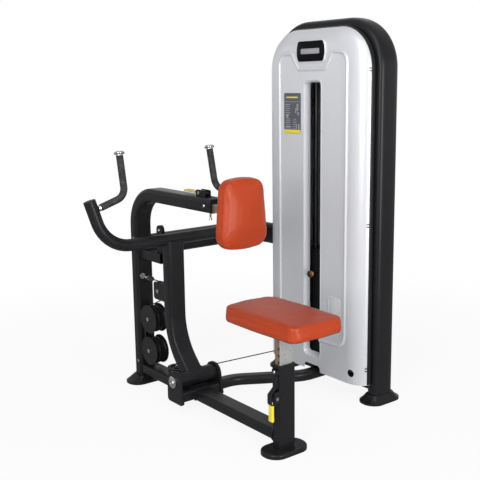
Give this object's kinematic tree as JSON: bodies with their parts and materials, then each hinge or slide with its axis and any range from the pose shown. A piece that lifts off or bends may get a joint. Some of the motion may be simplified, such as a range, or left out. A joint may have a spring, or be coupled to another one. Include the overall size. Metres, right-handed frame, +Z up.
{
  "type": "seated row machine",
  "caption": "Plate-stack seated row machine: shrouded weight tower, cable-driven lever with two upright grips, height-adjustable seat and sliding chest pad.",
  "frame": {"origin": "bottom centre of the whole machine's bounding box, on the floor", "axes": "+Z up, +Y the way the seated user faces, +X across the machine towards the weight tower"},
  "size_m": [1.1638, 1.262, 1.638],
  "materials": {
    "frame_black": "satin powder coat",
    "shroud_silver": "satin silver paint",
    "pad_orange": "smooth upholstery vinyl",
    "chrome": "bright plated steel",
    "rubber_black": "matte rubber",
    "plastic_black": "matte moulded plastic",
    "plastic_yellow": "glossy moulded plastic",
    "plastic_orange": "glossy moulded plastic",
    "pulley_black": "matte nylon",
    "stack_black": "black painted steel plate",
    "rod_steel": "ground bright steel",
    "cable_black": "nylon-coated wire rope"
  },
  "bodies": {
    "frame": {"column_and_arm": "frame_black", "column_foot": "frame_black", "seat_foot": "frame_black", "tower_feet": "frame_black", "front_base_beam": "frame_black", "rear_base_beam": "frame_black", "pivot_cross_box": "frame_black", "pivot_plates": "frame_black", "pivot_shaft": "chrome", "seat_post": "frame_black", "seat_post_collar": "plastic_black", "lower_link_tube": "frame_black", "upper_link_tube": "frame_black", "stop_beam": "frame_black", "lever_bumper": "rubber_black", "tower_arch": "frame_black", "tower_base_beam": "frame_black", "tower_top_beam": "frame_black", "front_shroud": "shroud_silver", "rear_shroud": "shroud_silver", "guide_rods": "rod_steel", "stack_buffers": "rubber_black", "resting_plates": "stack_black", "lever_cable": "cable_black", "main_cable": "cable_black", "stack_cable": "cable_black", "cable_anchor": "chrome", "pulley_brackets": "frame_black", "pulley_axles": "chrome", "arm_end_bush": "plastic_black", "latch_brackets": "frame_black", "frame_bolts": "chrome"},
    "lever": {"lever_sleeve": "frame_black", "lever_tube": "frame_black", "crossbar": "frame_black", "crossbar_caps": "plastic_black", "handle_grips": "rubber_black", "lever_fittings": "chrome", "block_plates": "frame_black"},
    "block_wheel": {"block_wheel": "pulley_black"},
    "column_pulley_low": {"column_pulley_low": "pulley_black"},
    "column_pulley_high": {"column_pulley_high": "pulley_black"},
    "floor_pulley": {"floor_pulley": "pulley_black"},
    "tower_pulley": {"tower_pulley": "pulley_black"},
    "top_pulley_rear": {"top_pulley_rear": "pulley_black"},
    "top_pulley_front": {"top_pulley_front": "pulley_black"},
    "stack": {"top_plate": "stack_black", "lifted_plates": "stack_black"},
    "selector": {"selector_pin": "chrome", "selector_knob": "plastic_orange"},
    "seat": {"seat_stem": "chrome", "seat_plate": "frame_black", "seat_pad": "pad_orange"},
    "chest": {"chest_slide": "chrome", "chest_index_bar": "frame_black", "chest_plate": "frame_black", "chest_pad": "pad_orange"},
    "seat_latch": {"seat_latch_lever": "frame_black", "seat_latch_grip": "plastic_yellow"},
    "pad_latch": {"pad_latch_lever": "plastic_yellow"}
  },
  "joints": [
    {"name": "stack_lift", "type": "slide", "parent": "frame", "child": "stack", "axis": [0, 0, 1], "range_m": [0, 0.4576], "deforming": ["stack_cable"]},
    {"name": "lever_pivot", "type": "hinge", "parent": "frame", "child": "lever", "pos_m": [-0.17514, 0.166, 0.128], "axis": [1, 0, 0], "range_deg": [0, 35], "deforming": ["lever_cable"]},
    {"name": "selector_pull", "type": "slide", "parent": "stack", "child": "selector", "axis": [-1, 0, 0], "range_m": [0, 0.085]},
    {"name": "seat_height", "type": "slide", "parent": "frame", "child": "seat", "axis": [0, 0, 1], "range_m": [-0.081, 0.108]},
    {"name": "chest_reach", "type": "slide", "parent": "frame", "child": "chest", "axis": [0, -1, 0], "range_m": [-0.1, 0.1]},
    {"name": "seat_latch_press", "type": "hinge", "parent": "frame", "child": "seat_latch", "pos_m": [-0.22814, -0.439, 0.228], "axis": [0, -1, 0], "range_deg": [0, 8], "stiffness_Nm_per_rad": 2, "springref_deg": -8.59},
    {"name": "pad_latch_press", "type": "hinge", "parent": "frame", "child": "pad_latch", "pos_m": [-0.17514, 0.075, 0.945], "axis": [-1, 0, 0], "range_deg": [0, 5], "stiffness_Nm_per_rad": 2, "springref_deg": -8.59},
    {"name": "block_wheel_spin", "type": "hinge", "parent": "lever", "child": "block_wheel", "pos_m": [-0.19514, 0.386, 0.474], "axis": [1, 0, 0], "continuous": true},
    {"name": "column_pulley_low_spin", "type": "hinge", "parent": "frame", "child": "column_pulley_low", "pos_m": [-0.19514, 0.475, 0.173], "axis": [1, 0, 0], "continuous": true},
    {"name": "column_pulley_high_spin", "type": "hinge", "parent": "frame", "child": "column_pulley_high", "pos_m": [-0.19514, 0.475, 0.324], "axis": [1, 0, 0], "continuous": true},
    {"name": "floor_pulley_spin", "type": "hinge", "parent": "frame", "child": "floor_pulley", "pos_m": [-0.15224, 0.33, 0.1141], "axis": [0, 0, 1], "continuous": true},
    {"name": "tower_pulley_spin", "type": "hinge", "parent": "frame", "child": "tower_pulley", "pos_m": [0.42719, 0.2297, 0.162], "axis": [0.0982, 0.9952, 0], "continuous": true},
    {"name": "top_pulley_rear_spin", "type": "hinge", "parent": "frame", "child": "top_pulley_rear", "pos_m": [0.47486, 0.1771, 1.492], "axis": [1, 0, 0], "continuous": true},
    {"name": "top_pulley_front_spin", "type": "hinge", "parent": "frame", "child": "top_pulley_front", "pos_m": [0.47486, 0.0439, 1.492], "axis": [1, 0, 0], "continuous": true}
  ],
  "couplings": [
    {"joint": "lever_pivot", "follows": "stack_lift", "rad_per_m": 1.3333},
    {"joint": "column_pulley_low_spin", "follows": "stack_lift", "rad_per_m": 16.978},
    {"joint": "column_pulley_high_spin", "follows": "stack_lift", "rad_per_m": 16.978},
    {"joint": "floor_pulley_spin", "follows": "stack_lift", "rad_per_m": -23.31},
    {"joint": "tower_pulley_spin", "follows": "stack_lift", "rad_per_m": 20.877},
    {"joint": "top_pulley_rear_spin", "follows": "stack_lift", "rad_per_m": -20.877},
    {"joint": "top_pulley_front_spin", "follows": "stack_lift", "rad_per_m": -20.877},
    {"joint": "block_wheel_spin", "follows": "stack_lift", "rad_per_m": -13.558}
  ]
}
